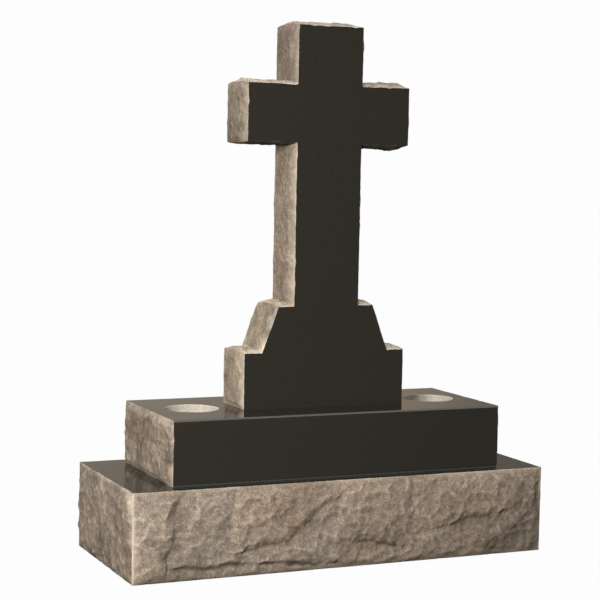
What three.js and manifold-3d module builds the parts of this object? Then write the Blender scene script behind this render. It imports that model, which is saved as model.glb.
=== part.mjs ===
// A cross headstone in dark granite: a cross with pitched edges stands on a polished base, and the base
// stands on a wider sub-base with pitched sides. The three stones are bedded one on another.
// Millimetres, +Z up. The front faces -Y, and the origin is on the ground under the middle of the stone.

import * as THREE from 'three';
import { mergeVertices } from 'three/addons/utils/BufferGeometryUtils.js';
import Module from 'manifold-3d';

const wasm = await Module();
wasm.setup();

// The cross, from its bed upwards and from its shaft outwards.
const crossThickness = 95;
const footHeight = 97;
const shoulderRise = 79.5;
const shaftRise = 280;
const armThickness = 99.5;
const headRise = 101;
const shaftWidth = 122;
const shoulderLedge = 28.5;
const shoulderRun = 29.5;
const footLedge = 32.5;
const armReach = 91;

// The base. A flower hole stands halfway along each free end of its top.
const baseHeight = 110;
const baseTread = 77.5;
const flowerHoleRadius = 46;
const flowerHoleRim = 30.75;
const flowerHoleFloor = 25;
const flowerHoleSides = 48;

// The sub-base, and how far its top shows round the base.
const subBaseHeight = 150;
const subBaseEndTread = 76;
const subBaseSideTread = 25;

// The pitched faces: how far each stands proud of its arrises, the width of the margin over which it
// slopes to a corner and to the block's two flat faces, the usual size of a scar in the broken face, the
// share of the bulge that an outer corner keeps, and how much more or less than the others some faces
// stand proud. A stone's faces are counted from 0 along its outline.
const rightArmTop = 7;
const leftArmUnderside = 13;
const rightEnd = 1;
const leftEnd = 3;
const crossPitch = {
  bulge: 8,
  cornerMargin: 11,
  faceMargin: 20,
  scar: 38,
  cornerShare: 0.35,
  swell: { [rightArmTop]: 1.4, [leftArmUnderside]: 0.5 },
  seed: 11,
};
const basePitch = {
  bulge: 9,
  cornerMargin: 11,
  faceMargin: 20,
  scar: 52,
  cornerShare: 0,
  swell: {},
  seed: 31,
};
const subBasePitch = {
  bulge: 11,
  cornerMargin: 16,
  faceMargin: 16,
  scar: 74,
  cornerShare: 0,
  swell: { [rightEnd]: 0.6, [leftEnd]: 0.6 },
  seed: 53,
};
const innerCornerShare = 0.8;
const cornerBreak = 0.8;
const arrisWander = 0.8;
const facet = 14;

// The break in shares of the bulge: what every place has, what the middle adds, and what a scar adds.
const leastBreak = 0.4;
const crownBreak = 0.25;
const scarBreak = 0.5;

// Deep marks in the sub-base's front, each from one point to another, measured along the front from its
// left end and up from the ground. Each is a share of the bulge deep, and rises again on its left and right.
const frontMarks = [
  { from: [80, 138], to: [60, 40], deep: 0.75, left: 34, right: 16 },
  { from: [170, 150], to: [171, 72], deep: 0.4, left: 12, right: 30 },
  { from: [352, 116], to: [268, 55], deep: 0.55, left: 44, right: 14 },
  { from: [268, 55], to: [196, 45], deep: 0.5, left: 36, right: 14 },
  { from: [76, 18], to: [210, 21], deep: 0.6, left: 12, right: 20 },
  { from: [210, 21], to: [360, 11], deep: 0.55, left: 12, right: 22 },
  { from: [404, 46], to: [474, 36], deep: 0.5, left: 18, right: 34 },
  { from: [501, 150], to: [502, 100], deep: 0.5, left: 22, right: 12 },
  { from: [570, 58], to: [666, 76], deep: 0.45, left: 14, right: 40 },
  { from: [770, 96], to: [664, 4], deep: 0.7, left: 200, right: 26 },
];

const footWidth = shaftWidth + 2 * (shoulderLedge + shoulderRun + footLedge);
const baseWidth = footWidth + 4 * (flowerHoleRadius + flowerHoleRim);
const baseDepth = crossThickness + 2 * baseTread;
const subBaseWidth = baseWidth + 2 * subBaseEndTread;
const subBaseDepth = baseDepth + 2 * subBaseSideTread;
const flowerHoleX = (footWidth + baseWidth) / 4;

// A number from 0 to 1 that is always the same for the same three whole numbers.
function chance(i, j, k) {
  let mixed = Math.imul(i, 374761393) ^ Math.imul(j, 668265263) ^ Math.imul(k, 1274126177);
  mixed = Math.imul(mixed ^ (mixed >>> 15), 2246822519);
  mixed = Math.imul(mixed ^ (mixed >>> 13), 3266489917);
  return ((mixed ^ (mixed >>> 16)) >>> 0) / 4294967296;
}

// Broken stone, from 0 to 1: the lowest of the shallow bowls round the scattered points of a grid, so
// that bowls meet in sharp ridges.
function scars(s, t, size, seed) {
  const col = Math.floor(s / size);
  const row = Math.floor(t / size);
  let lowest = 1;
  for (let i = col - 1; i <= col + 1; i++) {
    for (let j = row - 1; j <= row + 1; j++) {
      const ds = s / size - i - chance(i, j, seed);
      const dt = t / size - j - chance(i, j, seed + 1);
      lowest = Math.min(lowest, 0.5 * chance(i, j, seed + 2) + ds * ds + dt * dt);
    }
  }
  return lowest;
}

// What a deep mark leaves of the bulge at a point, from 0 to 1.
function leftByMark(s, t, { from, to, deep, left, right }) {
  const along = [to[0] - from[0], to[1] - from[1]];
  const offset = [s - from[0], t - from[1]];
  const share = (offset[0] * along[0] + offset[1] * along[1]) / (along[0] ** 2 + along[1] ** 2);
  const nearest = THREE.MathUtils.clamp(share, 0, 1);
  const distance = Math.hypot(offset[0] - nearest * along[0], offset[1] - nearest * along[1]);
  const width = along[0] * offset[1] - along[1] * offset[0] > 0 ? left : right;
  return 1 - deep * Math.max(0, 1 - distance / width);
}

// Lines across a face: its two edges, the ends of its margins, and even steps between.
function rule(length, margin) {
  const inset = Math.min(margin, length / 3);
  const count = Math.max(1, Math.round((length - 2 * inset) / facet));
  const lines = [0];
  for (let i = 0; i <= count; i++) lines.push(inset + ((length - 2 * inset) * i) / count);
  lines.push(length);
  return lines;
}

// The edges of an outline that runs anticlockwise, and for each the mitre at its first corner and the
// share of the bulge that the corner keeps: none where a dressed face meets it.
function readOutline(outline, dressed, cornerShare) {
  const edges = outline.map((start, k) => {
    const end = outline[(k + 1) % outline.length];
    const along = end.clone().sub(start).normalize();
    const outward = new THREE.Vector2(along.y, -along.x);
    return { start, along, outward, length: start.distanceTo(end), dressed: dressed.includes(k) };
  });
  edges.forEach((edge, k) => {
    const before = edges.at(k - 1);
    const bend = 1 + before.outward.dot(edge.outward);
    edge.mitre = before.outward.clone().add(edge.outward).divideScalar(bend);
    const share = before.along.cross(edge.along) > 0 ? cornerShare : innerCornerShare;
    edge.share = before.dressed || edge.dressed ? 0 : share;
  });
  return edges;
}

// A block with pitched sides: an outline in the XY plane, carried up by the depth. Its sides stand
// proud between their arrises, and its two faces are flat.
function pitchedBlock(outline, depth, dressed, pitch, marksOnFirst = []) {
  const { bulge, cornerMargin, faceMargin, scar, cornerShare, swell, seed } = pitch;
  const edges = readOutline(outline, dressed, cornerShare);
  const levels = rule(depth, faceMargin);

  const ring = edges.flatMap((edge, k) => {
    const stops = edge.dressed ? [0] : rule(edge.length, cornerMargin).slice(0, -1);
    return stops.map((s) => ({ edge, next: edges[(k + 1) % edges.length], k, s }));
  });

  const marginAt = (t) => Math.min(1, Math.min(t, depth - t) / faceMargin);

  function broken(k, s, t) {
    const marks = k === 0 ? marksOnFirst : [];
    const left = marks.reduce((least, mark) => Math.min(least, leftByMark(s, t, mark)), 1);
    const crown = 1 - (2 * t / depth - 1) ** 2;
    const rough = leastBreak + crownBreak * crown + scarBreak * scars(s, t, scar, seed + 7 * k);
    return (swell[k] ?? 1) * Math.min(rough * left, marginAt(t));
  }

  function place({ edge, next, k, s }, t, wander) {
    const atCorner = cornerBreak * marginAt(t);
    const first = edge.share * atCorner;
    const last = next.share * atCorner;
    const inset = Math.min(cornerMargin, edge.length / 3);
    const fade = Math.min(1, Math.min(s, edge.length - s) / inset);
    const near = s < edge.length / 2 ? first : last;
    const proud = edge.dressed ? 0 : bulge * (near + (broken(k, s, t) - near) * fade) - wander;
    const u = s / edge.length;
    const firstSlide = first * edge.mitre.dot(edge.along) * (1 - u);
    const lastSlide = last * next.mitre.dot(edge.along) * u;
    const run = s + bulge * (firstSlide + lastSlide);
    return edge.start.clone().addScaledVector(edge.along, run).addScaledVector(edge.outward, proud);
  }

  const positions = [];
  levels.forEach((t, level) => {
    const onFace = level === 0 || level === levels.length - 1;
    ring.forEach((stop, i) => {
      const wander = onFace && stop.s > 0 ? arrisWander * chance(i, level, seed) : 0;
      const point = place(stop, t, wander);
      positions.push(point.x, point.y, t);
    });
  });

  const triangles = [];
  for (let level = 0; level < levels.length - 1; level++) {
    for (let i = 0; i < ring.length; i++) {
      const a = level * ring.length + i;
      const b = level * ring.length + ((i + 1) % ring.length);
      triangles.push(a, b, b + ring.length, a, b + ring.length, a + ring.length);
    }
  }
  for (const level of [0, levels.length - 1]) {
    const base = level * ring.length;
    const contour = ring.map((_, i) => new THREE.Vector2().fromArray(positions, 3 * (base + i)));
    for (const [a, b, c] of THREE.ShapeUtils.triangulateShape(contour, [])) {
      const turn = contour[b].clone().sub(contour[a]).cross(contour[c].clone().sub(contour[a]));
      const faceUp = level > 0;
      triangles.push(base + a, ...(turn > 0 === faceUp ? [base + b, base + c] : [base + c, base + b]));
    }
  }

  const geometry = new THREE.BufferGeometry();
  geometry.setAttribute('position', new THREE.Float32BufferAttribute(positions, 3));
  geometry.setIndex(triangles);
  return geometry;
}

// The same block laid so that its outline stands upright and faces -Y, its depth centred on y = 0.
function uprightBlock(outline, depth, dressed, pitch) {
  const geometry = pitchedBlock(outline, depth, dressed, pitch);
  geometry.rotateX(Math.PI / 2);
  geometry.translate(0, depth / 2, 0);
  return geometry;
}

function rectangle(left, bottom, right, top) {
  const corners = [[left, bottom], [right, bottom], [right, top], [left, top]];
  return corners.map(([x, y]) => new THREE.Vector2(x, y));
}

function toSolid(geometry) {
  const bare = geometry.clone();
  bare.deleteAttribute('normal');
  bare.deleteAttribute('uv');
  const merged = mergeVertices(bare);
  return new wasm.Manifold(new wasm.Mesh({
    numProp: 3,
    vertProperties: merged.getAttribute('position').array,
    triVerts: Uint32Array.from(merged.index.array),
  }));
}

function toGeometry(solid) {
  const mesh = solid.getMesh();
  const geometry = new THREE.BufferGeometry();
  geometry.setAttribute('position', new THREE.BufferAttribute(mesh.vertProperties, 3));
  geometry.setIndex(new THREE.BufferAttribute(mesh.triVerts, 1));
  return geometry;
}

// The right half of the cross's outline, from the bed up to the head, and then its mirror image.
function crossOutline() {
  const shaft = shaftWidth / 2;
  const shoulderTop = shaft + shoulderLedge;
  const shoulderFoot = shoulderTop + shoulderRun;
  const shoulderHeight = footHeight + shoulderRise;
  const armUnderside = shoulderHeight + shaftRise;
  const armTop = armUnderside + armThickness;
  const rightSide = [
    [footWidth / 2, 0],
    [footWidth / 2, footHeight],
    [shoulderFoot, footHeight],
    [shoulderTop, shoulderHeight],
    [shaft, shoulderHeight],
    [shaft, armUnderside],
    [shaft + armReach, armUnderside],
    [shaft + armReach, armTop],
    [shaft, armTop],
    [shaft, armTop + headRise],
  ];
  const leftSide = rightSide.map(([x, z]) => [-x, z]).reverse();
  return [...rightSide, ...leftSide].map(([x, z]) => new THREE.Vector2(x, z));
}

function makeCross() {
  const outline = crossOutline();
  const bed = outline.length - 1;
  return uprightBlock(outline, crossThickness, [bed], crossPitch);
}

function makeBase() {
  const bedAndTop = [0, 2];
  const outline = rectangle(-baseWidth / 2, 0, baseWidth / 2, baseHeight);
  let solid = toSolid(uprightBlock(outline, baseDepth, bedAndTop, basePitch));
  const drill = new THREE.CylinderGeometry(flowerHoleRadius, flowerHoleRadius, baseHeight, flowerHoleSides);
  drill.rotateX(Math.PI / 2);
  drill.translate(0, 0, flowerHoleFloor + baseHeight / 2);
  for (const side of [-1, 1]) {
    solid = solid.subtract(toSolid(drill.clone().translate(side * flowerHoleX, 0, 0)));
  }
  return toGeometry(solid);
}

function makeSubBase() {
  const outline = rectangle(-subBaseWidth / 2, -subBaseDepth / 2, subBaseWidth / 2, subBaseDepth / 2);
  return pitchedBlock(outline, subBaseHeight, [], subBasePitch, frontMarks);
}

function granite(colour, roughness) {
  return new THREE.MeshStandardMaterial({ color: colour, roughness, metalness: 0 });
}

function stone(name, geometry, material, height) {
  geometry.computeVertexNormals();
  const mesh = new THREE.Mesh(geometry, material);
  mesh.name = name;
  mesh.position.z = height;
  return mesh;
}

const headstone = new THREE.Group();
headstone.add(stone('sub_base', makeSubBase(), granite(0x8f8271, 0.85), 0));
headstone.add(stone('base', makeBase(), granite(0x302d2a, 0.12), subBaseHeight));
headstone.add(stone('cross', makeCross(), granite(0x312f29, 0.12), subBaseHeight + baseHeight));

export default headstone;
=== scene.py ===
# A cross headstone in dark granite: a cross with pitched edges on a polished base, which stands on a
# wider sub-base with pitched sides. Each stone is one mesh, worked out in millimetres and written in
# metres. +Z is up and the front faces -Y.

import math

import bpy
import numpy as np
from mathutils import Matrix, Vector


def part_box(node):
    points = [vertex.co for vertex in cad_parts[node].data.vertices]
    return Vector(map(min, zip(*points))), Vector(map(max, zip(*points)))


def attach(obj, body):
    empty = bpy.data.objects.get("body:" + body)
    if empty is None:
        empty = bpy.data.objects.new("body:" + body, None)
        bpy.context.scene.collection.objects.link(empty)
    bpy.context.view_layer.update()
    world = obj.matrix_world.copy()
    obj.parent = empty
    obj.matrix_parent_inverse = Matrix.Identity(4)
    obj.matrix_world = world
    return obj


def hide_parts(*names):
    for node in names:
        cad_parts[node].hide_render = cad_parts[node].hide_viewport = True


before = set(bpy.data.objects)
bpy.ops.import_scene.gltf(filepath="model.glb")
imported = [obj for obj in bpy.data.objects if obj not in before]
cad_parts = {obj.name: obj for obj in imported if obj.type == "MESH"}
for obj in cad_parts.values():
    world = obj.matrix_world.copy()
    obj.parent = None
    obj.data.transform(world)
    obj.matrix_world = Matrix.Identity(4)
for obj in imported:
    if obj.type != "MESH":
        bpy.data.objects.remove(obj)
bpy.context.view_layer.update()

METRE = 0.001

# The cross, from its bed upwards and from its shaft outwards, as in the solids.
FOOT_HEIGHT = 97
SHOULDER_RISE = 79.5
SHAFT_RISE = 280
ARM_THICKNESS = 99.5
HEAD_RISE = 101
SHAFT_WIDTH = 122
SHOULDER_LEDGE = 28.5
SHOULDER_RUN = 29.5
FOOT_LEDGE = 32.5
ARM_REACH = 91

# The flower holes in the base, and the narrow chamfer along its polished edges.
HOLE_RADIUS = 46
HOLE_FLOOR = 25
HOLE_ARRIS = 1.2
HOLE_SIDES = 96
HOLE_RINGS = 40
CHAMFER = 2.6

# The pitched faces, as in the solids: how far each stands proud of its arrises, the width of the margin
# over which it slopes to a corner and to the block's two flat faces, the usual size of a scar, the share
# of the bulge that an outer corner keeps, and how much more or less than the others some faces stand
# proud. A stone's faces are counted from 0 along its outline. For the colours: the painted light and
# shade that makes some faces paler or darker than the usual break, as the light falls on them, how
# strongly the colour changes over a face, the painted shade that makes a face paler or darker towards
# its end and its top, how far it is stained, how pale it is at its arrises with bruising and a painted
# highlight, and the painted highlight along the strips beside the two flat faces. Break height is the
# depth of the finer break beside the usual one.
RIGHT_LEDGE, RIGHT_SHOULDER, RIGHT_ARM_TOP, HEAD_TOP, HEAD_LEFT = 1, 3, 7, 9, 10
LEFT_ARM_TOP, LEFT_ARM_END, LEFT_ARM_UNDERSIDE, LEFT_SHAFT = 11, 12, 13, 14
LEFT_SHOULDER, LEFT_SLOPE, LEFT_LEDGE, LEFT_FOOT = 15, 16, 17, 18
FRONT, RIGHT_END, LEFT_END = 0, 1, 3
CROSS_PITCH = dict(
    bulge=8,
    corner_margin=11,
    face_margin=20,
    scar=38,
    corner_share=0.35,
    swell={RIGHT_ARM_TOP: 1.4, LEFT_ARM_UNDERSIDE: 0.5},
    seed=11,
    # Painted light and shade: these faces are made paler or darker as the light falls on them, the tops and
    # ledges paler and the head's and arm's ends darker.
    painted_face_light={
        RIGHT_LEDGE: 1.15, RIGHT_SHOULDER: 1.15, RIGHT_ARM_TOP: 1.0, HEAD_TOP: 1.05, HEAD_LEFT: 0.66,
        LEFT_ARM_TOP: 1.35, LEFT_ARM_END: 0.77, LEFT_SHAFT: 0.95, LEFT_SHOULDER: 1.25, LEFT_SLOPE: 0.93,
        LEFT_LEDGE: 1.25, LEFT_FOOT: 0.97,
    },
    mottle={LEFT_SHAFT: 0.26, LEFT_ARM_END: 0.36, HEAD_LEFT: 0.34, LEFT_SLOPE: 0.62, LEFT_FOOT: 0.36},
    # Painted shade: the shaft and the foot grow paler or darker along their length, as the light falls on
    # them.
    painted_lean={LEFT_SHAFT: (-0.1, 0.0), LEFT_FOOT: (0.1, 0.0)},
    stain=0.8,
    # Bruise with a painted highlight at the arrises, and a painted highlight along the strips beside the
    # flat faces where the margin turns to the light.
    bruise_and_highlight=0.5,
    highlight_strip=0.5,
    break_height=0.65,
)
BASE_PITCH = dict(
    bulge=9,
    corner_margin=11,
    face_margin=20,
    scar=52,
    corner_share=0,
    swell={},
    seed=31,
    # Painted shade: the left end is made darker as the light falls on it.
    painted_face_light={LEFT_END: 0.82},
    mottle={LEFT_END: 0.6},
    painted_lean={},
    stain=0.5,
    # Bruise with a painted highlight at the arrises, and a painted highlight along the strips beside the
    # flat faces.
    bruise_and_highlight=0.3,
    highlight_strip=0.2,
    break_height=0.85,
)
SUB_BASE_PITCH = dict(
    bulge=11,
    corner_margin=16,
    face_margin=16,
    scar=74,
    corner_share=0,
    swell={RIGHT_END: 0.6, LEFT_END: 0.6},
    seed=53,
    # Painted shade: the front and the left end are made darker as the light falls on them.
    painted_face_light={FRONT: 0.99, LEFT_END: 0.9},
    mottle={FRONT: 0.2, LEFT_END: 0.6},
    # Painted shade: the front and the left end grow paler towards their top, and paler or darker along their
    # length, as the light falls on them.
    painted_lean={FRONT: (-0.12, 0.12), LEFT_END: (0.1, 0.22)},
    stain=0.2,
    # Bruise with a painted highlight at the arrises, and a painted highlight along the strips beside the
    # flat faces.
    bruise_and_highlight=0.5,
    highlight_strip=0.0,
    break_height=0.92,
)
USUAL_MOTTLE = 0.42
INNER_CORNER_SHARE = 0.8

# Deep marks in the sub-base's front: from and to along the front from its left end and up from the
# ground, the share of the bulge that is lost, the widths over which it rises on its left and right, and
# how far it has opened into a crack.
FRONT_MARKS = [
    ((80, 138), (60, 40), 0.75, 34, 16, 0.0),
    ((170, 150), (171, 72), 0.4, 12, 30, 0.0),
    ((352, 116), (268, 55), 0.55, 44, 14, 0.15),
    ((268, 55), (196, 45), 0.5, 36, 14, 0.3),
    ((76, 18), (210, 21), 0.6, 12, 20, 0.4),
    ((210, 21), (360, 11), 0.55, 12, 22, 1.0),
    ((404, 46), (474, 36), 0.5, 18, 34, 0.8),
    ((501, 150), (502, 100), 0.5, 22, 12, 0.15),
    ((570, 58), (666, 76), 0.45, 14, 40, 0.35),
    ((770, 96), (664, 4), 0.7, 200, 26, 0.15),
]

# The finer break: the sizes of its small scars, creases, lumps and grit, how far from a flat face and
# from a corner it is at its full depth, and how wide and deep a crack is.
SMALL_SCAR = 11
CREASE = 19
LUMP = 6
GRIT = 3
CALM_BY_FACE = 9
CALM_BY_CORNER = 5
CRACK_WIDTH = 2.4
CRACK_DEPTH = 2.2

# How far the bruise and painted highlight reach from a flat face and from a sharp corner, and the width
# of the painted highlight strip beside a flat face.
BRUISE_AND_HIGHLIGHT_BY_FACE = 2.2
BRUISE_AND_HIGHLIGHT_BY_CORNER = 2.5
HIGHLIGHT_STRIP_WIDTH = 15

# The spacing of the points on a pitched face.
CROSS_STEP = 1.7
BASE_STEP = 1.7
SUB_BASE_STEP = 2.0

# The finishes, in the order of the materials at the end, and their colours.
POLISHED, PITCHED, HONED, DRILLED, EASED, EASED_BED_PAINTED_LIGHT = range(6)
POLISHED_COLOURS = dict(
    dark_cloud=(0.0240, 0.0230, 0.0190, 1),
    pale_cloud=(0.0262, 0.0252, 0.0208, 1),
    pale_crystal=(0.0285, 0.0273, 0.0226, 1),
    dark_crystal=(0.0215, 0.0206, 0.0170, 1),
)
HONED_COLOURS = dict(
    dark_cloud=(0.058, 0.055, 0.049, 1),
    pale_cloud=(0.074, 0.070, 0.062, 1),
    pale_crystal=(0.105, 0.099, 0.089, 1),
    dark_crystal=(0.036, 0.034, 0.031, 1),
)
PITCHED_COLOURS = dict(
    grey=(0.250, 0.212, 0.180, 1),
    ochre=(0.268, 0.205, 0.152, 1),
    rust=(0.318, 0.228, 0.150, 1),
    green=(0.230, 0.222, 0.152, 1),
    pale_crystal=(0.42, 0.36, 0.30, 1),
    dark_crystal=(0.13, 0.105, 0.082, 1),
    # Dust with painted shade in the hollows.
    dust_and_shade_in_hollows=(0.095, 0.076, 0.058, 1),
    crest=(0.50, 0.44, 0.375, 1),
    # Bruise with a painted highlight at the arrises.
    arris=(0.70, 0.64, 0.56, 1),
    # Painted shade under the cross's arms and in the marks and cracks of the sub-base's front.
    painted_shade=(0.050, 0.043, 0.034, 1),
)
DRILLED_COLOURS = dict(
    dark_cloud=(0.42, 0.385, 0.345, 1),
    pale_cloud=(0.49, 0.455, 0.41, 1),
    pale_crystal=(0.52, 0.485, 0.44, 1),
    dark_crystal=(0.31, 0.285, 0.25, 1),
)
EASED_COLOUR = (0.062, 0.067, 0.068, 1)
# The bed's chamfer is given a paler colour than the top's, as painted light on a chamfer that faces down.
EASED_BED_PAINTED_LIGHT_COLOUR = (0.13, 0.14, 0.142, 1)

# The crystals and clouds of each finish, counted to the metre.
POLISHED_GRAIN = (800.0, 7.0)
HONED_GRAIN = (560.0, 7.0)
PITCHED_GRAIN = (480.0, 11.0)
DRILLED_GRAIN = (380.0, 20.0)

# The view, fitted to the photograph: where the camera looks, from where, and how long its lens is.
VIEW_TARGET = Vector((-0.029, 0.0, 0.443))
VIEW_DISTANCE = 2.899
VIEW_AZIMUTH = math.radians(-23.98)
VIEW_ELEVATION = math.radians(4.54)
VIEW_ROLL = math.radians(1.09)
VIEW_LENS = 99.3

# The lights: name, degrees round from the front and up, metres away and across, watts and colour.
LIGHTS = [
    ("key", -42, 14, 2.5, 0.6, 71, (1.0, 0.95, 0.89)),
    ("back", 172, 40, 3.0, 1.2, 32, (1.0, 0.97, 0.93)),
]
LIGHTS_AIM = Vector((0, 0, 0.35))

# The room as the stone sees it, and the white that stands behind it in the picture.
ROOM_COLOURS = dict(
    left=(0.52, 0.44, 0.355, 1),
    right=(0.20, 0.18, 0.15, 1),
    card=(0.42, 0.335, 0.255, 1),
    shade=(0.0, 0.0, 0.0, 1),
    overhead=(0.95, 0.92, 0.86, 1),
    in_front=(0.10, 0.09, 0.075, 1),
    backdrop=(0.982, 0.982, 0.982, 1),
)
FLOOR_COLOUR = (0.05, 0.048, 0.045, 1)
MIRRORED_FLOOR = (0.10, 0.088, 0.073, 1)
FLOOR_WHITE = 1.03
FLOOR_REACH = 30


def chance(i, j, k):
    """A number from 0 to 1 for each pair of whole numbers i, j: their bits multiplied and mixed."""
    high = 0xFFFFFFFF
    mixed = (i.astype(np.int64) * 374761393 & high) ^ (j.astype(np.int64) * 668265263 & high)
    mixed = mixed ^ (k * 1274126177 & high)
    mixed = (mixed ^ (mixed >> 15)) * 2246822519 & high
    mixed = (mixed ^ (mixed >> 13)) * 3266489917 & high
    return (mixed ^ (mixed >> 16)) / 4294967296.0


def scars(s, t, size, seed):
    """Broken stone from 0 to 1: the lowest of the paraboloids round the scattered points of a grid."""
    col = np.floor(s / size).astype(np.int64)
    row = np.floor(t / size).astype(np.int64)
    lowest = np.ones_like(s)
    for di in (-1, 0, 1):
        for dj in (-1, 0, 1):
            i = col + di
            j = row + dj
            ds = s / size - i - chance(i, j, seed)
            dt = t / size - j - chance(i, j, seed + 1)
            lowest = np.minimum(lowest, 0.5 * chance(i, j, seed + 2) + ds * ds + dt * dt)
    return lowest


def drift(s, t, size, seed):
    """Smooth noise from 0 to 1: chances at the corners of a grid, blended by a cubic step between them."""
    i = np.floor(s / size).astype(np.int64)
    j = np.floor(t / size).astype(np.int64)
    u = s / size - i
    v = t / size - j
    u = u * u * (3 - 2 * u)
    v = v * v * (3 - 2 * v)
    low = chance(i, j, seed) * (1 - u) + chance(i + 1, j, seed) * u
    high = chance(i, j + 1, seed) * (1 - u) + chance(i + 1, j + 1, seed) * u
    return low * (1 - v) + high * v


def gap_to_mark(s, t, start, end):
    """The distance to the line from start to end, and whether a place is on the line's left."""
    along = (end[0] - start[0], end[1] - start[1])
    share = ((s - start[0]) * along[0] + (t - start[1]) * along[1]) / (along[0] ** 2 + along[1] ** 2)
    nearest = np.clip(share, 0, 1)
    gap = np.hypot(s - start[0] - nearest * along[0], t - start[1] - nearest * along[1])
    return gap, along[0] * (t - start[1]) - along[1] * (s - start[0]) > 0


def warped(s, t, size, reach, seed):
    """The places s, t moved by up to reach each way, by smooth noise of the given size."""
    return (s + 2 * reach * (drift(s, t, size, seed) - 0.5),
            t + 2 * reach * (drift(s, t, size, seed + 1) - 0.5))


def read_marks(pitch, s, t, marks):
    """What the marks leave of the bulge, rising evenly from each line to 1 over the widths on its left
    and right, the steeper side sharper where the line has opened, and the narrow crack, from 0 to 1."""
    seed = pitch["seed"]
    left = np.ones_like(s)
    crack = np.zeros_like(s)
    if marks:
        mark_s, mark_t = warped(*warped(s, t, 34, 5, seed + 300), 11, 2.5, seed + 302)
        uneven = 0.65 + 0.7 * drift(s, t, 30, seed + 304)
        cracked = np.clip(2.2 * drift(s, t, 26, seed + 308) - 0.5, 0, 1)
        for start, end, deep, wide_left, wide_right, opened in marks:
            gap, on_left = gap_to_mark(mark_s, mark_t, start, end)
            steep = min(wide_left, wide_right)
            width = np.where(on_left, wide_left, wide_right)
            sharpened = 1 - 0.35 * min(1, 4 * opened)
            width = np.where(width == steep, sharpened * width, width)
            left = np.minimum(left, 1 - deep * uneven * np.maximum(0, 1 - gap / width))
            crack = np.maximum(crack, opened * cracked * np.exp(-(gap / CRACK_WIDTH) ** 2))
    return left, crack


def broken(pitch, k, s, t, depth, left=1.0):
    """How far face k stands proud at s along it and t across it, in shares of the bulge: a crown and big
    scars, cut down to what the marks leave, and falling to the arrises over a margin of wandering width."""
    seed = pitch["seed"] + 7 * k
    crown = 1 - (2 * t / depth - 1) ** 2
    rough = 0.4 + 0.25 * crown + 0.5 * scars(*warped(s, t, 30, 5, seed + 306), pitch["scar"], seed)
    to_arris = np.minimum(t, depth - t)
    side = np.where(t < depth / 2, 0.0, 1.0)
    wander = 0.9 * drift(s, side * 999, 33, seed + 90) + 0.4 * drift(s, side * 999, 9, seed + 91)
    width = pitch["face_margin"] * (0.7 + 0.6 * wander)
    return pitch["swell"].get(k, 1) * rough * left * (1 - np.exp(-2 * to_arris / width))


def fine_break(pitch, k, s, t):
    """The smaller break of the face in millimetres: scars and creases on warped ground, and grit."""
    seed = pitch["seed"] + 200 + 11 * k
    scar = pitch["scar"]
    warp_s, warp_t = warped(s, t, 0.4 * scar, 0.12 * scar, seed)
    middle = scars(warp_s, warp_t * 1.3, 0.36 * scar, seed + 2) - 0.45
    small_s, small_t = warped(s, t, 9, 3, seed + 4)
    small = scars(small_s, small_t, SMALL_SCAR, seed + 6) - 0.45
    crease = np.abs(2 * drift(warp_s, warp_t, CREASE, seed + 9) - 1) - 0.4
    lumps = drift(s, t, LUMP, seed + 10) - 0.5
    grit = drift(s, t, GRIT, seed + 11) - 0.5
    fine = 1.3 * small + 1.3 * crease + 1.1 * lumps + 0.6 * grit
    return pitch["break_height"] * (0.4 * pitch["bulge"] * middle + fine)


def fade_in(to_face, to_corner):
    """The share of the finer break: none at an arris, and all of it out on the face."""
    return np.minimum(1, to_face / CALM_BY_FACE) * np.minimum(1, to_corner / CALM_BY_CORNER)


def tone_and_light_of(pitch, k, s, t, length, depth):
    """How pale face k is: the painted light and shade that some faces are given, or else a paleness from
    0.86 to 1.02 by chance, with smooth noise of three sizes over it, and painted shade that makes it
    paler or darker towards its end and its top."""
    seed = pitch["seed"] + 500 + k
    scar = pitch["scar"]
    by_chance = 0.86 + 0.16 * float(chance(np.array([k]), np.array([0]), pitch["seed"])[0])
    slow = 1.4 * drift(s, t, 0.65 * scar, seed) + 0.7 * drift(s, t, 0.26 * scar, seed + 20)
    quick = 0.6 * drift(s, t, 7, seed + 40)
    mottled = 1 + pitch["mottle"].get(k, USUAL_MOTTLE) * (slow + quick - 1.35)
    # Painted shade: paler or darker towards the face's end and its top.
    painted_lean_s, painted_lean_t = pitch["painted_lean"].get(k, (0, 0))
    painted_leaning = (1 + painted_lean_s * (s / length - 0.5)) * (1 + painted_lean_t * (t / depth - 0.5))
    return pitch["painted_face_light"].get(k, by_chance) * mottled * painted_leaning


def stain_of(pitch, k, s, t):
    """From 0, greenish, to 1, rusty: smooth noise of two sizes about 0.5."""
    seed = pitch["seed"] + 600 + k
    noise = drift(s, t, 0.5 * pitch["scar"], seed) + 0.7 * drift(s, t, 9, seed + 20)
    return np.clip(0.5 + 1.1 * pitch["stain"] * (noise - 0.85), 0, 1)


def arris_chips(s, seed):
    """How far the arris is chipped back in millimetres: a little everywhere, and a few deeper nicks."""
    zero = np.zeros_like(s)
    return 0.5 * drift(s, zero, 4, seed) + 1.6 * drift(s, zero, 13, seed + 1) ** 5


def bruised_and_lit_arris(pitch, k, s, to_face):
    """How pale face k is beside a flat face: bruised and painted with a highlight at the arris, where it
    comes and goes, and a painted highlight fading over a wider strip."""
    seed = pitch["seed"] + 540 + k
    zero = np.zeros_like(s)
    comes = np.clip(1.8 * drift(s, zero, 34, seed) - 0.3, 0, 1) * (0.5 + 0.5 * drift(s, zero, 9, seed + 1))
    strip = 0.5 + 0.5 * drift(s, zero, 40, seed + 2)
    at_arris = pitch["bruise_and_highlight"] * comes * np.exp(-to_face / BRUISE_AND_HIGHLIGHT_BY_FACE)
    return at_arris + pitch["highlight_strip"] * strip * np.exp(-(to_face / HIGHLIGHT_STRIP_WIDTH) ** 2)


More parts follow.
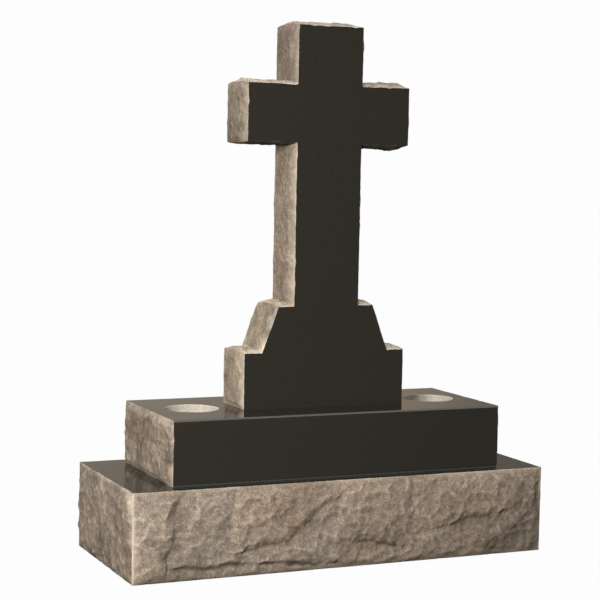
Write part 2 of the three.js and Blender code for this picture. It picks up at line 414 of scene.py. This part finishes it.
def blurred(height, reach):
    """The height averaged over reach points each way, round the ring and from face to face."""
    total = sum(np.roll(height, n, axis=1) for n in range(-reach, reach + 1)) / (2 * reach + 1)
    padded = np.pad(total, ((reach, reach), (0, 0)), mode="edge")
    count = height.shape[0]
    return sum(padded[n:n + count] for n in range(2 * reach + 1)) / (2 * reach + 1)


def crest_mask(height):
    """From 0 in the hollows to 1 on the crests: how the height differs from its blurred self."""
    return np.clip(0.5 + (height - blurred(height, 3)) / 2.6, 0, 1)


def read_outline(outline, dressed, corner_share):
    """Each edge of an anticlockwise outline: its start, direction, outward side, length, the mitre at its
    first corner and the share of the bulge kept there, which is none where a dressed face meets it."""
    edges = []
    for k, start in enumerate(outline):
        start = np.array(start, float)
        span = np.array(outline[(k + 1) % len(outline)], float) - start
        length = np.hypot(*span)
        along = span / length
        outward = np.array([along[1], -along[0]])
        edges.append(dict(start=start, along=along, outward=outward, length=length, dressed=k in dressed))
    for k, edge in enumerate(edges):
        before = edges[k - 1]
        bend = 1 + before["outward"] @ edge["outward"]
        edge["mitre"] = (before["outward"] + edge["outward"]) / bend
        turn = before["along"][0] * edge["along"][1] - before["along"][1] * edge["along"][0]
        share = corner_share if turn > 0 else INNER_CORNER_SHARE
        edge["share"] = 0 if before["dressed"] or edge["dressed"] else share
    return edges


def pitched_ring(outline, depth, dressed, pitch, step, marks=(), height_axis=2):
    """Points of a block's sides, level by level: each edge of the outline is a strip of s by t points,
    pushed outwards by the broken face and slid along so that strips meet on the corners' mitres."""
    edges = read_outline(outline, dressed, pitch["corner_share"])
    levels = np.linspace(0, depth, round(depth / step) + 1)
    strips, heights, arris, painted_shade, tone_and_light, stain = [], [], [], [], [], []
    for k, edge in enumerate(edges):
        after = edges[(k + 1) % len(edges)]
        length = edge["length"]
        count = 1 if edge["dressed"] else max(4, round(length / step))
        s, t = np.meshgrid(np.arange(count) * length / count, levels)
        to_face = np.minimum(t, depth - t)
        at_corner = 0.8 * np.minimum(1, to_face / pitch["face_margin"])
        first, last = edge["share"] * at_corner, after["share"] * at_corner
        inset = min(pitch["corner_margin"], length / 3)
        fade = np.minimum(1, np.minimum(s, length - s) / inset)
        near = np.where(s < length / 2, first, last)
        left, crack = read_marks(pitch, s, t, marks if k == 0 else ())
        proud = near + (broken(pitch, k, s, t, depth, left) - near) * fade
        to_corner = np.minimum(s, length - s)
        fine = fade_in(to_face, to_corner) * (fine_break(pitch, k, s, t) - CRACK_DEPTH * crack)
        height = pitch["bulge"] * proud + fine
        on_face = (to_face == 0) & (s > 0)
        chips = arris_chips(s + 1000 * k + 500 * (t > 0), pitch["seed"] + 400)
        height = np.where(on_face, -chips, height)
        if edge["dressed"]:
            height = fine = np.zeros_like(s)
        u = s / length
        slide_first = first * (edge["mitre"] @ edge["along"])
        slide_last = last * (after["mitre"] @ edge["along"])
        slide = slide_first * (1 - u) + slide_last * u
        place = edge["start"] + (s + pitch["bulge"] * slide)[..., None] * edge["along"]
        strips.append(place + height[..., None] * edge["outward"])
        heights.append(fine)
        # Each face's paleness, with its painted light and shade.
        tone_and_light.append(tone_and_light_of(pitch, k, s, t, length, depth))
        stain.append(stain_of(pitch, k, s, t))
        # The arris mask: bruise with a painted highlight beside the flat faces and down each sharp corner.
        sharp = np.where(s < length / 2, edge["share"], after["share"]) == 0
        at_sharp_corner = 0.8 * sharp * np.exp(-to_corner / BRUISE_AND_HIGHLIGHT_BY_CORNER)
        arris.append(np.maximum(bruised_and_lit_arris(pitch, k, s, to_face), at_sharp_corner))
        # Painted shade: the cross's undersides are made dark, and the marks' hollows and cracks darker.
        underside = edge["outward"][1] < -0.5 and height_axis == 1
        marked = np.clip(0.75 * (1 - left) + 0.8 * crack, 0, 1)
        painted_shade.append(np.where(underside, 1.0, marked))
    ring = np.concatenate(strips, axis=1)
    height = np.concatenate(heights, axis=1)
    masks = dict(crest=crest_mask(height), arris=np.concatenate(arris, axis=1),
                 painted_shade=np.concatenate(painted_shade, axis=1), tone_and_light=np.concatenate(tone_and_light, axis=1),
                 stain=np.concatenate(stain, axis=1))
    up = np.broadcast_to(levels[:, None], ring.shape[:2])
    points = np.concatenate([ring, up[..., None]], axis=2)
    return points, {name: mask.ravel() for name, mask in masks.items()}


def ring_faces(level_count, ring_count):
    """The four-sided faces between each pair of levels of a ring, and the two faces that close it."""
    level, i = np.meshgrid(np.arange(level_count - 1), np.arange(ring_count), indexing="ij")
    a = level * ring_count + i
    b = level * ring_count + (i + 1) % ring_count
    sides = np.stack([a, b, b + ring_count, a + ring_count], axis=-1).reshape(-1, 4)
    bottom = list(range(ring_count))[::-1]
    top = list(range((level_count - 1) * ring_count, level_count * ring_count))
    return sides, bottom, top


def finish_borders(mesh, finishes):
    """Whether each edge of a mesh lies between two faces of different finishes."""
    corners = np.zeros(len(mesh.polygons), np.int32)
    mesh.polygons.foreach_get("loop_total", corners)
    edge_of = np.zeros(len(mesh.loops), np.int32)
    mesh.loops.foreach_get("edge_index", edge_of)
    finish_of = np.repeat(finishes, corners)
    least = np.full(len(mesh.edges), len(STONE_FINISHES))
    most = np.full(len(mesh.edges), -1)
    np.minimum.at(least, edge_of, finish_of)
    np.maximum.at(most, edge_of, finish_of)
    return least < most


def write_mesh(name, points, faces, finishes, masks):
    """One object from points in millimetres, with a finish for each face and named masks on its points.
    Pitched and drilled faces are smooth, and the others flat."""
    mesh = bpy.data.meshes.new(name)
    mesh.from_pydata((points * METRE).tolist(), [], faces)
    finishes = np.asarray(finishes, np.int32)
    mesh.polygons.foreach_set("material_index", finishes)
    mesh.polygons.foreach_set("use_smooth", (finishes == PITCHED) | (finishes == DRILLED))
    mesh.edges.foreach_set("use_edge_sharp", finish_borders(mesh, finishes))
    for mask, values in masks.items():
        mesh.attributes.new(mask, "FLOAT", "POINT").data.foreach_set("value", values.astype(np.float32))
    mesh.validate()
    for material in STONE_FINISHES:
        mesh.materials.append(material)
    piece = bpy.data.objects.new(name, mesh)
    bpy.context.collection.objects.link(piece)
    return piece


def flat_face(node, axis, highest):
    """The least and greatest corner, in millimetres, of a solid's flat face at the end of an axis."""
    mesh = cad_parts[node].data
    points = np.zeros(len(mesh.vertices) * 3)
    mesh.vertices.foreach_get("co", points)
    points = points.reshape(-1, 3) / METRE
    end = points[:, axis].max() if highest else points[:, axis].min()
    on_face = points[np.abs(points[:, axis] - end) < 0.01]
    return on_face.min(axis=0).round(3), on_face.max(axis=0).round(3)


def add(tree, kind, **values):
    """A new node. Each value sets the node's own setting of that name, or else the input of that name."""
    made = tree.nodes.new(kind)
    for name, value in values.items():
        if hasattr(made, name):
            setattr(made, name, value)
        else:
            made.inputs[name.replace("_", " ")].default_value = value
    return made


def blend_colour(tree, share, first, second, mode="MIX"):
    """The output of a colour mix from the first to the second, which are outputs or plain colours."""
    mix = add(tree, "ShaderNodeMix", data_type="RGBA", blend_type=mode)
    for socket, value in ((mix.inputs[0], share), (mix.inputs[6], first), (mix.inputs[7], second)):
        if isinstance(value, bpy.types.NodeSocket):
            tree.links.new(value, socket)
        else:
            socket.default_value = value
    return mix.outputs[2]


def ramp(tree, source, low, high, out_low=0.0, out_high=1.0):
    """The output of a range map from low..high to out_low..out_high, held at its ends."""
    made = add(tree, "ShaderNodeMapRange")
    tree.links.new(source, made.inputs["Value"])
    made.inputs["From Min"].default_value = low
    made.inputs["From Max"].default_value = high
    made.inputs["To Min"].default_value = out_low
    made.inputs["To Max"].default_value = out_high
    return made.outputs["Result"]


def grain_group():
    """Granite's grain from a place: dark and light crystals, a slow cloudiness and a crystal height."""
    group = bpy.data.node_groups.new("granite_grain", "ShaderNodeTree")
    place = group.interface.new_socket("Place", in_out="INPUT", socket_type="NodeSocketVector")
    place.hide_value = True
    for name, start in (("Crystals", 360.0), ("Clouds", 9.0)):
        group.interface.new_socket(name, in_out="INPUT", socket_type="NodeSocketFloat").default_value = start
    for name in ("Dark", "Light", "Cloud", "Height"):
        group.interface.new_socket(name, in_out="OUTPUT", socket_type="NodeSocketFloat")
    source = group.nodes.new("NodeGroupInput")
    result = group.nodes.new("NodeGroupOutput")
    cells = add(group, "ShaderNodeTexVoronoi", voronoi_dimensions="3D", feature="F1", Randomness=1.0)
    specks = add(group, "ShaderNodeTexNoise", Detail=3.0, Roughness=0.6)
    clouds = add(group, "ShaderNodeTexNoise", Detail=4.0, Roughness=0.55)
    apart = add(group, "ShaderNodeSeparateColor")
    finer = add(group, "ShaderNodeMath", operation="MULTIPLY")
    finer.inputs[1].default_value = 1.7
    group.links.new(source.outputs["Crystals"], finer.inputs[0])
    for texture, scale in ((cells, source.outputs["Crystals"]), (specks, finer.outputs[0]),
                           (clouds, source.outputs["Clouds"])):
        group.links.new(source.outputs["Place"], texture.inputs["Vector"])
        group.links.new(scale, texture.inputs["Scale"])
    group.links.new(cells.outputs["Color"], apart.inputs["Color"])
    group.links.new(ramp(group, apart.outputs["Red"], 0.62, 0.78), result.inputs["Dark"])
    group.links.new(ramp(group, apart.outputs["Green"], 0.66, 0.82), result.inputs["Light"])
    group.links.new(clouds.outputs["Fac"], result.inputs["Cloud"])
    group.links.new(specks.outputs["Fac"], result.inputs["Height"])
    return group


def place_grain(tree, group, counts):
    """A granite_grain node in a material, fed with the piece's own coordinates and its counts of crystals
    and clouds to the metre."""
    made = add(tree, "ShaderNodeGroup", node_tree=group)
    where = add(tree, "ShaderNodeTexCoord")
    tree.links.new(where.outputs["Object"], made.inputs["Place"])
    made.inputs["Crystals"].default_value, made.inputs["Clouds"].default_value = counts
    return made


def new_material(name):
    """A new material, its nodes and its shader."""
    material = bpy.data.materials.new(name)
    material.use_nodes = True
    return material, material.node_tree, material.node_tree.nodes["Principled BSDF"]


def roughen(tree, shader, height, strength, distance):
    """Feeds the shader's Normal from a height, as a bump of that many metres."""
    bump = add(tree, "ShaderNodeBump", Strength=strength, Distance=distance)
    tree.links.new(height, bump.inputs["Height"])
    tree.links.new(bump.outputs["Normal"], shader.inputs["Normal"])


def crystal_colour(tree, grain, colours, dark_share=1.0):
    """The output of a stone's colour: its clouds, with pale crystals and then dark ones over them."""
    ground = blend_colour(tree, grain.outputs["Cloud"], colours["dark_cloud"], colours["pale_cloud"])
    specked = blend_colour(tree, grain.outputs["Light"], ground, colours["pale_crystal"])
    dark = ramp(tree, grain.outputs["Dark"], 0, 1, 0, dark_share)
    return blend_colour(tree, dark, specked, colours["dark_crystal"])


def polished_granite(grain):
    """Near-black ground with faint grey crystals, a hard gloss and a slow change in its sheen."""
    material, tree, shader = new_material("polished_granite")
    made = place_grain(tree, grain, POLISHED_GRAIN)
    colour = crystal_colour(tree, made, POLISHED_COLOURS)
    tree.links.new(colour, shader.inputs["Base Color"])
    tree.links.new(ramp(tree, made.outputs["Cloud"], 0.3, 0.7, 0.05, 0.10), shader.inputs["Roughness"])
    return material


def honed_granite(grain):
    """The same stone left matt, as on the back and the beds, greyer because it doesn't gloss."""
    material, tree, shader = new_material("honed_granite")
    made = place_grain(tree, grain, HONED_GRAIN)
    colour = crystal_colour(tree, made, HONED_COLOURS)
    tree.links.new(colour, shader.inputs["Base Color"])
    tree.links.new(ramp(tree, made.outputs["Light"], 0, 1, 0.42, 0.55), shader.inputs["Roughness"])
    roughen(tree, shader, made.outputs["Height"], 0.15, 0.0002)
    return material


def pitched_granite(grain):
    """Freshly broken stone: warm grey with ochre clouds, stains and crystals, paler on crests where it is
    bruised and on arrises where it is bruised and painted with a highlight, darker in its hollows with
    dust and painted shade, each face paler or darker with its painted light and shade, and painted shade
    under the arms and in the marks."""
    material, tree, shader = new_material("pitched_granite")
    made = place_grain(tree, grain, PITCHED_GRAIN)
    crest, arris, tone_and_light, painted_shade, stain = (
        add(tree, "ShaderNodeAttribute", attribute_name=mask)
        for mask in ("crest", "arris", "tone_and_light", "painted_shade", "stain")
    )
    cloud = ramp(tree, made.outputs["Cloud"], 0.35, 0.68)
    colour = blend_colour(tree, cloud, PITCHED_COLOURS["grey"], PITCHED_COLOURS["ochre"])
    for source, low, high, share, over in (
        (stain.outputs["Fac"], 0.5, 1.0, 0.75, "rust"),
        (stain.outputs["Fac"], 0.5, 0.0, 0.75, "green"),
        (made.outputs["Light"], 0.0, 1.0, 0.55, "pale_crystal"),
        (made.outputs["Dark"], 0.0, 1.0, 0.5, "dark_crystal"),
        # Dust with painted shade in the hollows, and bruising on the crests.
        (crest.outputs["Fac"], 0.5, 0.1, 0.55, "dust_and_shade_in_hollows"),
        (crest.outputs["Fac"], 0.6, 1.0, 0.45, "crest"),
        # Bruise with a painted highlight at the arrises.
        (arris.outputs["Fac"], 0.0, 1.0, 0.7, "arris"),
    ):
        laid = ramp(tree, source, low, high, 0.0, share)
        colour = blend_colour(tree, laid, colour, PITCHED_COLOURS[over])
    # Each face's paleness, with its painted light and shade, multiplies the colour.
    toned = blend_colour(tree, 1.0, colour, tone_and_light.outputs["Color"], "MULTIPLY")
    # Painted shade under the arms and in the marks and cracks.
    dark = ramp(tree, painted_shade.outputs["Fac"], 0.15, 1.0, 0.0, 0.92)
    colour = blend_colour(tree, dark, toned, PITCHED_COLOURS["painted_shade"])
    tree.links.new(colour, shader.inputs["Base Color"])
    tree.links.new(ramp(tree, made.outputs["Light"], 0, 1, 0.88, 0.62), shader.inputs["Roughness"])
    roughen(tree, shader, made.outputs["Height"], 0.55, 0.0009)
    return material


def drilled_granite(grain):
    """The core-drilled wall and floor of a flower hole, pale with stone dust."""
    material, tree, shader = new_material("drilled_granite")
    made = place_grain(tree, grain, DRILLED_GRAIN)
    colour = crystal_colour(tree, made, DRILLED_COLOURS, 0.35)
    tree.links.new(colour, shader.inputs["Base Color"])
    tree.links.new(ramp(tree, made.outputs["Cloud"], 0, 1, 0.75, 0.95), shader.inputs["Roughness"])
    roughen(tree, shader, made.outputs["Height"], 0.2, 0.0002)
    return material


def eased_arris(name, colour):
    """The narrow chamfer along the base's long edges, ground and a little blue beside the polish. The
    copy along the bed is made paler, as painted light on a chamfer that faces down.
    """
    material, _, shader = new_material(name)
    shader.inputs["Base Color"].default_value = colour
    shader.inputs["Roughness"].default_value = 0.35
    return material


def make_cross():
    """The cross: its outline carried from the honed back to the polished front, pitched all round."""
    low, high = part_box("cross")
    face_low, face_high = flat_face("cross", 1, False)
    front = face_low[1]
    depth = high.y / METRE - front
    shaft = SHAFT_WIDTH / 2
    shoulder_top = shaft + SHOULDER_LEDGE
    shoulder_foot = shoulder_top + SHOULDER_RUN
    foot = shoulder_foot + FOOT_LEDGE
    shoulder_height = FOOT_HEIGHT + SHOULDER_RISE
    arm_underside = shoulder_height + SHAFT_RISE
    arm_top = arm_underside + ARM_THICKNESS
    right = [
        (foot, 0),
        (foot, FOOT_HEIGHT),
        (shoulder_foot, FOOT_HEIGHT),
        (shoulder_top, shoulder_height),
        (shaft, shoulder_height),
        (shaft, arm_underside),
        (shaft + ARM_REACH, arm_underside),
        (shaft + ARM_REACH, arm_top),
        (shaft, arm_top),
        (shaft, arm_top + HEAD_RISE),
    ]
    outline = right + [(-x, z) for x, z in reversed(right)]
    bed = len(outline) - 1
    points, masks = pitched_ring(outline, depth, [bed], CROSS_PITCH, CROSS_STEP, height_axis=1)
    sides, back, face = ring_faces(*points.shape[:2])
    flat = points.reshape(-1, 3)
    placed = np.column_stack([flat[:, 0], front + depth - flat[:, 2], flat[:, 1] + low.z / METRE])
    on_bed = sides[:, 0] % points.shape[1] == points.shape[1] - 1
    finishes = np.where(on_bed, HONED, PITCHED).tolist() + [HONED, POLISHED]
    return write_mesh("cross_stone", placed, sides.tolist() + [back, face], finishes, masks)


def make_sub_base():
    """The sub-base: a rectangle carried up from the ground, pitched on all four sides, polished on top."""
    low, high = flat_face("sub_base", 2, True)
    depth = high[2]
    outline = [(low[0], low[1]), (high[0], low[1]), (high[0], high[1]), (low[0], high[1])]
    points, masks = pitched_ring(outline, depth, [], SUB_BASE_PITCH, SUB_BASE_STEP, FRONT_MARKS)
    sides, bottom, top = ring_faces(*points.shape[:2])
    faces = sides.tolist() + [bottom, top]
    finishes = [PITCHED] * len(sides) + [HONED, POLISHED]
    return write_mesh("sub_base_stone", points.reshape(-1, 3), faces, finishes, masks)


def base_end(width, depth, height, side):
    """One pitched end of the base: a grid of depth by height points from the arris inwards, pushed out
    by the broken face, its four corners cut back to the middle of the chamfers."""
    half = depth / 2
    count = 2 * round((half - CHAMFER) / BASE_STEP)
    across = np.concatenate([[-half], np.linspace(CHAMFER - half, half - CHAMFER, count + 1), [half]])
    rows = round((height - 2 * CHAMFER) / BASE_STEP)
    up = np.concatenate([[0], np.linspace(CHAMFER, height - CHAMFER, rows + 1), [height]])
    y, z = np.meshgrid(across, up, indexing="ij")
    k = RIGHT_END if side > 0 else LEFT_END
    s = z if side > 0 else height - z
    t = half - y
    to_bed = np.minimum(z, height - z)
    to_face = np.minimum(t, depth - t)
    to_arris = np.minimum(to_bed, to_face)
    fade = np.minimum(1, to_bed / BASE_PITCH["corner_margin"])
    fine = fade_in(to_face, to_bed) * fine_break(BASE_PITCH, k, s, t)
    proud = BASE_PITCH["bulge"] * broken(BASE_PITCH, k, s, t, depth) * fade + fine
    chips = arris_chips(y + z + 700 * k, BASE_PITCH["seed"] + 400)
    x = width / 2 + np.where(to_arris == 0, -chips, proud)
    corner = CHAMFER / 2
    for row, col, dy, dz in ((0, 0, 1, 1), (0, -1, 1, -1), (-1, 0, -1, 1), (-1, -1, -1, -1)):
        y[row, col] += dy * corner
        z[row, col] += dz * corner
    # Bruise with a painted highlight at the arrises, and each end's paleness with its painted light and
    # shade.
    masks = dict(crest=crest_mask(fine), arris=bruised_and_lit_arris(BASE_PITCH, k, y + z, to_arris), painted_shade=0 * s,
                 tone_and_light=tone_and_light_of(BASE_PITCH, k, s, t, height, depth), stain=stain_of(BASE_PITCH, k, s, t))
    return np.stack([side * x, y, z], axis=-1), masks


def flower_hole(centre, height):
    """A drilled hole: rings of points from its rim down its scored wall to its floor."""
    angles = np.arange(HOLE_SIDES) * 2 * math.pi / HOLE_SIDES
    down = np.linspace(height - HOLE_ARRIS, HOLE_FLOOR, HOLE_RINGS)
    scoring = 0.18 * np.sin(down * 1.9) + 0.12 * np.sin(down * 5.3)
    radii = np.concatenate([[HOLE_RADIUS + HOLE_ARRIS], HOLE_RADIUS + scoring])
    levels = np.concatenate([[height], down])
    x = centre + radii[:, None] * np.cos(angles)
    y = radii[:, None] * np.sin(angles)
    z = np.broadcast_to(levels[:, None], x.shape)
    return np.stack([x, y, z], axis=-1)


def base_top(grid, hole_offsets):
    """The base's top as two faces, in front of and behind the line through the middles of the holes. The
    grid numbers the left end's points, and the right end's come next."""
    middle = grid.shape[0] // 2
    half_turn = HOLE_SIDES // 2
    left_rim, right_rim = ([offset + i for i in range(HOLE_SIDES)] for offset in hole_offsets)
    front_arc = [0] + list(range(HOLE_SIDES - 1, half_turn - 1, -1))
    back_arc = list(range(half_turn, -1, -1))
    front_left = [int(i) for i in grid[1:middle + 1, -1]]
    back_left = [int(i) for i in grid[middle:-1, -1]]
    front_right = [i + grid.size for i in front_left]
    back_right = [i + grid.size for i in back_left]
    front_rims = [right_rim[i] for i in front_arc] + [left_rim[i] for i in front_arc]
    back_rims = [left_rim[i] for i in back_arc] + [right_rim[i] for i in back_arc]
    return [front_right + front_rims + front_left[::-1], back_rims + back_right + back_left[::-1]]


def make_base():
    """The base: two pitched ends joined by long flat faces with chamfers between, and two flower holes."""
    low, high = flat_face("base", 1, False)
    depth = -2 * low[1]
    ground = low[2]
    height = high[2] - ground
    width = high[0] - low[0]
    foot = SHAFT_WIDTH / 2 + SHOULDER_LEDGE + SHOULDER_RUN + FOOT_LEDGE
    hole_x = (foot + width / 2) / 2
    ends = [base_end(width, depth, height, side) for side in (-1, 1)]
    holes = [flower_hole(side * hole_x, height) for side in (-1, 1)]
    rows, cols = ends[0][0].shape[:2]
    grid = np.arange(rows * cols).reshape(rows, cols)
    offsets = [0, grid.size]
    hole_offsets = [2 * grid.size, 2 * grid.size + holes[0].shape[0] * HOLE_SIDES]
    points = np.concatenate([ends[0][0].reshape(-1, 3), ends[1][0].reshape(-1, 3),
                             holes[0].reshape(-1, 3), holes[1].reshape(-1, 3)])
    cells = np.stack([grid[:-1, :-1], grid[1:, :-1], grid[1:, 1:], grid[:-1, 1:]], axis=-1).reshape(-1, 4)
    faces = (cells[:, ::-1] + offsets[0]).tolist() + (cells + offsets[1]).tolist()
    finishes = [PITCHED] * len(faces)

    def long_face(run, finish):
        """One flat face along the base, between the same run of points on its two ends."""
        left = [int(i) for i in run]
        right = [int(i) + grid.size for i in run]
        faces.append(right + left[::-1])
        finishes.append(finish)

    front, back, bottom, top = grid[0, 1:-1], grid[-1, 1:-1], grid[1:-1, 0], grid[1:-1, -1]
    long_face(front[::-1], POLISHED)
    long_face(back, HONED)
    long_face(bottom, HONED)
    for before, corner, after, finish in (
        (front[-1], grid[0, -1], top[0], EASED),
        (top[-1], grid[-1, -1], back[-1], EASED),
        (back[0], grid[-1, 0], bottom[-1], EASED_BED_PAINTED_LIGHT),
        (bottom[0], grid[0, 0], front[0], EASED_BED_PAINTED_LIGHT),
    ):
        long_face([after, corner, before], finish)

    faces += base_top(grid, hole_offsets)
    finishes += [POLISHED, POLISHED]

    for offset, hole in zip(hole_offsets, holes):
        walls, _, floor = ring_faces(hole.shape[0], HOLE_SIDES)
        faces.extend((walls + offset).tolist())
        faces.append([i + offset for i in floor])
        finishes += [DRILLED] * (len(walls) + 1)
    placed = points + np.array([0, 0, ground])
    in_holes = np.zeros(2 * holes[0].shape[0] * HOLE_SIDES)
    masks = {name: np.concatenate([ends[0][1][name].ravel(), ends[1][1][name].ravel(), in_holes])
             for name in ends[0][1]}
    return write_mesh("base_stone", placed, faces, finishes, masks)


def make_camera():
    """The camera on the fitted view, turned about its line of sight by the fitted roll."""
    back = Vector((math.sin(VIEW_AZIMUTH) * math.cos(VIEW_ELEVATION),
                   -math.cos(VIEW_AZIMUTH) * math.cos(VIEW_ELEVATION), math.sin(VIEW_ELEVATION)))
    level_right = (-back).cross(Vector((0, 0, 1))).normalized()
    level_up = level_right.cross(-back)
    right = level_right * math.cos(VIEW_ROLL) + level_up * math.sin(VIEW_ROLL)
    up = back.cross(right)
    data = bpy.data.cameras.new("camera")
    data.sensor_width = 36
    data.lens = VIEW_LENS
    camera = bpy.data.objects.new("camera", data)
    bpy.context.collection.objects.link(camera)
    turned = Matrix((right, up, back)).transposed().to_4x4()
    camera.matrix_world = Matrix.Translation(VIEW_TARGET + back * VIEW_DISTANCE) @ turned
    bpy.context.scene.camera = camera


def make_light(name, azimuth, elevation, distance, width, power, colour):
    """A square soft light aimed at the stone. Azimuth 0 is in front, and less than 0 to the left."""
    turn, rise = math.radians(azimuth), math.radians(elevation)
    back = Vector((math.sin(turn) * math.cos(rise), -math.cos(turn) * math.cos(rise), math.sin(rise)))
    data = bpy.data.lights.new(name, "AREA")
    data.size = width
    data.energy = power
    data.color = colour
    light = bpy.data.objects.new(name, data)
    bpy.context.collection.objects.link(light)
    light.location = LIGHTS_AIM + back * distance
    light.rotation_euler = back.to_track_quat("Z", "Y").to_euler()


def make_world():
    """White behind the stone. To everything that it reflects or is lit by, a warm grey room that is paler
    overhead, on its left and low down, with a warm card behind on the right, and dark in front on the
    right, where the polished fronts look."""
    world = bpy.data.worlds.new("studio")
    world.use_nodes = True
    tree = world.node_tree
    shown = add(tree, "ShaderNodeLightPath")
    where = add(tree, "ShaderNodeTexCoord")
    apart = add(tree, "ShaderNodeSeparateXYZ")
    tree.links.new(where.outputs["Generated"], apart.inputs[0])
    sideways = ramp(tree, apart.outputs["X"], 0.25, 0.55)
    walls = blend_colour(tree, sideways, ROOM_COLOURS["left"], ROOM_COLOURS["right"])
    card_left = ramp(tree, apart.outputs["X"], 0.40, 0.45)
    card_right = ramp(tree, apart.outputs["X"], 0.50, 0.46)
    card = add(tree, "ShaderNodeMath", operation="MULTIPLY")
    tree.links.new(card_left, card.inputs[0])
    tree.links.new(card_right, card.inputs[1])
    carded = blend_colour(tree, card.outputs[0], walls, ROOM_COLOURS["card"])
    higher = ramp(tree, apart.outputs["Z"], 0.14, 0.20, 0.0, 0.25)
    dimmed = blend_colour(tree, higher, carded, ROOM_COLOURS["shade"])
    overhead = ramp(tree, apart.outputs["Z"], 0.25, 0.8)
    roofed = blend_colour(tree, overhead, dimmed, ROOM_COLOURS["overhead"])
    forward = add(tree, "ShaderNodeMath", operation="SUBTRACT")
    tree.links.new(apart.outputs["X"], forward.inputs[0])
    tree.links.new(apart.outputs["Y"], forward.inputs[1])
    in_front = ramp(tree, forward.outputs[0], 0.7, 1.1)
    room = blend_colour(tree, in_front, roofed, ROOM_COLOURS["in_front"])
    colour = blend_colour(tree, shown.outputs["Is Camera Ray"], room, ROOM_COLOURS["backdrop"])
    tree.links.new(colour, tree.nodes["Background"].inputs["Color"])
    bpy.context.scene.world = world


def make_floor():
    """A plain pale floor: nearly white to look at, the room's grey in the polished stone, and throwing
    hardly any light back up."""
    material, tree, shader = new_material("pale_floor")
    shader.inputs["Roughness"].default_value = 0.9
    shader.inputs["Specular IOR Level"].default_value = 0.0
    shader.inputs["Base Color"].default_value = FLOOR_COLOUR
    shown = add(tree, "ShaderNodeLightPath")
    white = add(tree, "ShaderNodeEmission", Strength=FLOOR_WHITE)
    grey = add(tree, "ShaderNodeEmission", Color=MIRRORED_FLOOR)
    mirrored = add(tree, "ShaderNodeMixShader")
    seen = add(tree, "ShaderNodeMixShader")
    tree.links.new(shown.outputs["Is Glossy Ray"], mirrored.inputs[0])
    tree.links.new(shader.outputs["BSDF"], mirrored.inputs[1])
    tree.links.new(grey.outputs["Emission"], mirrored.inputs[2])
    share = ramp(tree, shown.outputs["Is Camera Ray"], 0, 1, 0, 0.95)
    tree.links.new(share, seen.inputs[0])
    tree.links.new(mirrored.outputs["Shader"], seen.inputs[1])
    tree.links.new(white.outputs["Emission"], seen.inputs[2])
    tree.links.new(seen.outputs["Shader"], tree.nodes["Material Output"].inputs["Surface"])
    mesh = bpy.data.meshes.new("floor")
    corners = [(x * FLOOR_REACH, y * FLOOR_REACH, 0) for x, y in ((-1, -1), (1, -1), (1, 1), (-1, 1))]
    mesh.from_pydata(corners, [], [(0, 1, 2, 3)])
    mesh.materials.append(material)
    floor = bpy.data.objects.new("floor", mesh)
    bpy.context.collection.objects.link(floor)


make_camera()
make_world()
make_floor()
for light in LIGHTS:
    make_light(*light)

GRAIN = grain_group()
STONE_FINISHES = [
    polished_granite(GRAIN),
    pitched_granite(GRAIN),
    honed_granite(GRAIN),
    drilled_granite(GRAIN),
    eased_arris("eased_arris", EASED_COLOUR),
    # The bed's chamfer, made paler as painted light on a face turned down.
    eased_arris("eased_bed_arris_painted_light", EASED_BED_PAINTED_LIGHT_COLOUR),
]

for build, node, finish in (
    (make_cross, "cross", "polished_granite"),
    (make_base, "base", "polished_granite"),
    (make_sub_base, "sub_base", "pitched_granite"),
):
    piece = build()
    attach(piece, "root")
    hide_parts(node)

bpy.context.scene.view_settings.view_transform = "Standard"
